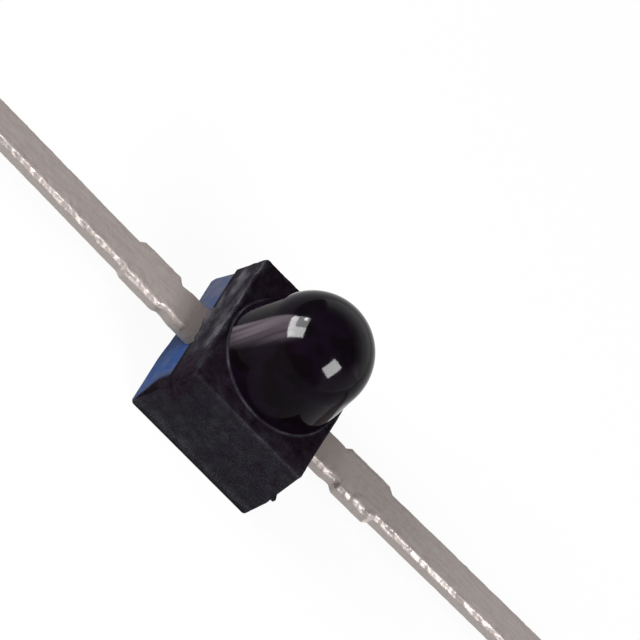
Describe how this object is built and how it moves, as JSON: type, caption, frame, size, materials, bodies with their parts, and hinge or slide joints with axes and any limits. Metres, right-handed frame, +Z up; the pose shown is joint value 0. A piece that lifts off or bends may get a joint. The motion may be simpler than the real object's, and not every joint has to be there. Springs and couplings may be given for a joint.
{
  "type": "photodiode",
  "caption": "Axial-lead photodiode: a dark moulded epoxy block with a dome lens on top and a flat tinned lead out of each end.",
  "frame": {"origin": "centre of the block's flat base", "axes": "+X along the anode lead, +Y across the leads, +Z up through the dome lens"},
  "size_m": [0.0262, 0.0024, 0.0027],
  "materials": {
    "epoxy": "dark daylight-filter epoxy, polished on the lens and satin on the block",
    "tinned_strip": "dull tin",
    "silicon": "polished silicon with a dark coating",
    "silver_adhesive": "silver-filled adhesive",
    "gold_wire": "drawn gold wire"
  },
  "bodies": {
    "root": {"package": "epoxy", "cathode_lead": "tinned_strip", "anode_lead": "tinned_strip", "chip": "silicon", "die_attach": "silver_adhesive", "bond_wire": "gold_wire"}
  },
  "joints": []
}
